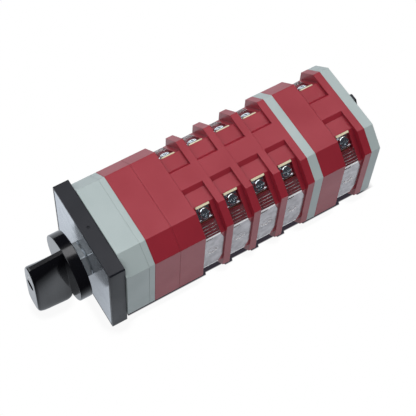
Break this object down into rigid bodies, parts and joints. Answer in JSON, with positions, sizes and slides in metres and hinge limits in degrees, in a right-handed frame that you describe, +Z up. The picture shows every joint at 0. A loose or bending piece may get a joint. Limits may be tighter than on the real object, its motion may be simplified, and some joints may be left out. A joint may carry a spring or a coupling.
{
  "type": "rotary cam switch",
  "caption": "Rotary cam switch with a square black front plate, a bar knob, grey and red housings and stacked contact layers with screw terminals.",
  "frame": {"origin": "on the shaft's axis at the front face of the grey detent housing, the seat against the panel", "axes": "+Y along the shaft towards the rear, +Z up with the knob's pointer, +X right as seen from the front"},
  "size_m": [0.0666, 0.2128, 0.0666],
  "materials": {
    "red_plastic": "satin",
    "grey_plastic": "satin",
    "black_plastic": "satin",
    "knob_plastic": "gloss",
    "face_metal": "satin",
    "collar_chrome": "polished",
    "clear_plastic": "clear",
    "brass": "satin",
    "screw_steel": "satin",
    "spring_steel": "satin",
    "pointer_white": "gloss",
    "cam_plastic": "satin",
    "nut_black": "satin"
  },
  "bodies": {
    "housing": {"spacer_housing_1": "red_plastic", "spacer_housing_2": "red_plastic", "rear_spacer_housing": "red_plastic", "contact_housing_1": "red_plastic", "contact_housing_2": "red_plastic", "contact_housing_3": "red_plastic", "contact_housing_4": "red_plastic", "contact_housing_5": "red_plastic", "detent_housing": "grey_plastic", "detent_cover": "grey_plastic", "divider_plate": "grey_plastic", "rear_cover": "grey_plastic", "front_plate": "black_plastic", "face_plate": "face_metal", "threaded_collar": "collar_chrome", "panel_screws": "screw_steel", "detent_plungers": "cam_plastic", "detent_springs": "spring_steel", "return_springs": "spring_steel", "tie_bolts": "screw_steel", "tie_nuts": "nut_black", "fixed_contacts": "brass", "terminal_screws": "screw_steel", "wire_clamps": "screw_steel", "clear_covers_1": "clear_plastic", "clear_covers_2": "clear_plastic", "clear_covers_3": "clear_plastic", "clear_covers_4": "clear_plastic", "clear_covers_5": "clear_plastic"},
    "rotor": {"knob": "knob_plastic", "knob_pointer_cap": "pointer_white", "knob_screw": "screw_steel", "shaft": "screw_steel", "star_wheel": "cam_plastic", "cam_1": "cam_plastic", "cam_2": "cam_plastic", "cam_3": "cam_plastic", "cam_4": "cam_plastic", "cam_5": "cam_plastic"},
    "contact_1_left": {"plunger_1_left": "cam_plastic", "bridge_1_left": "brass"},
    "contact_1_right": {"plunger_1_right": "cam_plastic", "bridge_1_right": "brass"},
    "contact_2_left": {"plunger_2_left": "cam_plastic", "bridge_2_left": "brass"},
    "contact_2_right": {"plunger_2_right": "cam_plastic", "bridge_2_right": "brass"},
    "contact_3_left": {"plunger_3_left": "cam_plastic", "bridge_3_left": "brass"},
    "contact_3_right": {"plunger_3_right": "cam_plastic", "bridge_3_right": "brass"},
    "contact_4_left": {"plunger_4_left": "cam_plastic", "bridge_4_left": "brass"},
    "contact_4_right": {"plunger_4_right": "cam_plastic", "bridge_4_right": "brass"},
    "contact_5_left": {"plunger_5_left": "cam_plastic", "bridge_5_left": "brass"},
    "contact_5_right": {"plunger_5_right": "cam_plastic", "bridge_5_right": "brass"}
  },
  "joints": [
    {"name": "switch_turn", "type": "hinge", "parent": "housing", "child": "rotor", "pos_m": [0, 0, 0], "axis": [0, 1, 0], "range_deg": [0, 90]},
    {"name": "contact_1_left_slide", "type": "slide", "parent": "housing", "child": "contact_1_left", "axis": [1, 0, 0], "range_m": [0, 0.0018]},
    {"name": "contact_1_right_slide", "type": "slide", "parent": "housing", "child": "contact_1_right", "axis": [-1, 0, 0], "range_m": [0, 0.0018]},
    {"name": "contact_2_left_slide", "type": "slide", "parent": "housing", "child": "contact_2_left", "axis": [1, 0, 0], "range_m": [0, 0.0018]},
    {"name": "contact_2_right_slide", "type": "slide", "parent": "housing", "child": "contact_2_right", "axis": [-1, 0, 0], "range_m": [0, 0.0018]},
    {"name": "contact_3_left_slide", "type": "slide", "parent": "housing", "child": "contact_3_left", "axis": [1, 0, 0], "range_m": [0, 0.0018]},
    {"name": "contact_3_right_slide", "type": "slide", "parent": "housing", "child": "contact_3_right", "axis": [-1, 0, 0], "range_m": [0, 0.0018]},
    {"name": "contact_4_left_slide", "type": "slide", "parent": "housing", "child": "contact_4_left", "axis": [1, 0, 0], "range_m": [0, 0.0018]},
    {"name": "contact_4_right_slide", "type": "slide", "parent": "housing", "child": "contact_4_right", "axis": [-1, 0, 0], "range_m": [0, 0.0018]},
    {"name": "contact_5_left_slide", "type": "slide", "parent": "housing", "child": "contact_5_left", "axis": [1, 0, 0], "range_m": [0, 0.0018]},
    {"name": "contact_5_right_slide", "type": "slide", "parent": "housing", "child": "contact_5_right", "axis": [-1, 0, 0], "range_m": [0, 0.0018]}
  ],
  "couplings": [
    {"joint": "contact_1_left_slide", "follows": "switch_turn", "m_per_rad": 0.001145},
    {"joint": "contact_1_right_slide", "follows": "switch_turn", "m_per_rad": 0.001145},
    {"joint": "contact_2_left_slide", "follows": "switch_turn", "m_per_rad": 0.001145},
    {"joint": "contact_2_right_slide", "follows": "switch_turn", "m_per_rad": 0.001145},
    {"joint": "contact_3_left_slide", "follows": "switch_turn", "m_per_rad": 0.001145},
    {"joint": "contact_3_right_slide", "follows": "switch_turn", "m_per_rad": 0.001145},
    {"joint": "contact_4_left_slide", "follows": "switch_turn", "m_per_rad": 0.001145},
    {"joint": "contact_4_right_slide", "follows": "switch_turn", "m_per_rad": 0.001145},
    {"joint": "contact_5_left_slide", "follows": "switch_turn", "m_per_rad": 0.001145},
    {"joint": "contact_5_right_slide", "follows": "switch_turn", "m_per_rad": 0.001145}
  ]
}
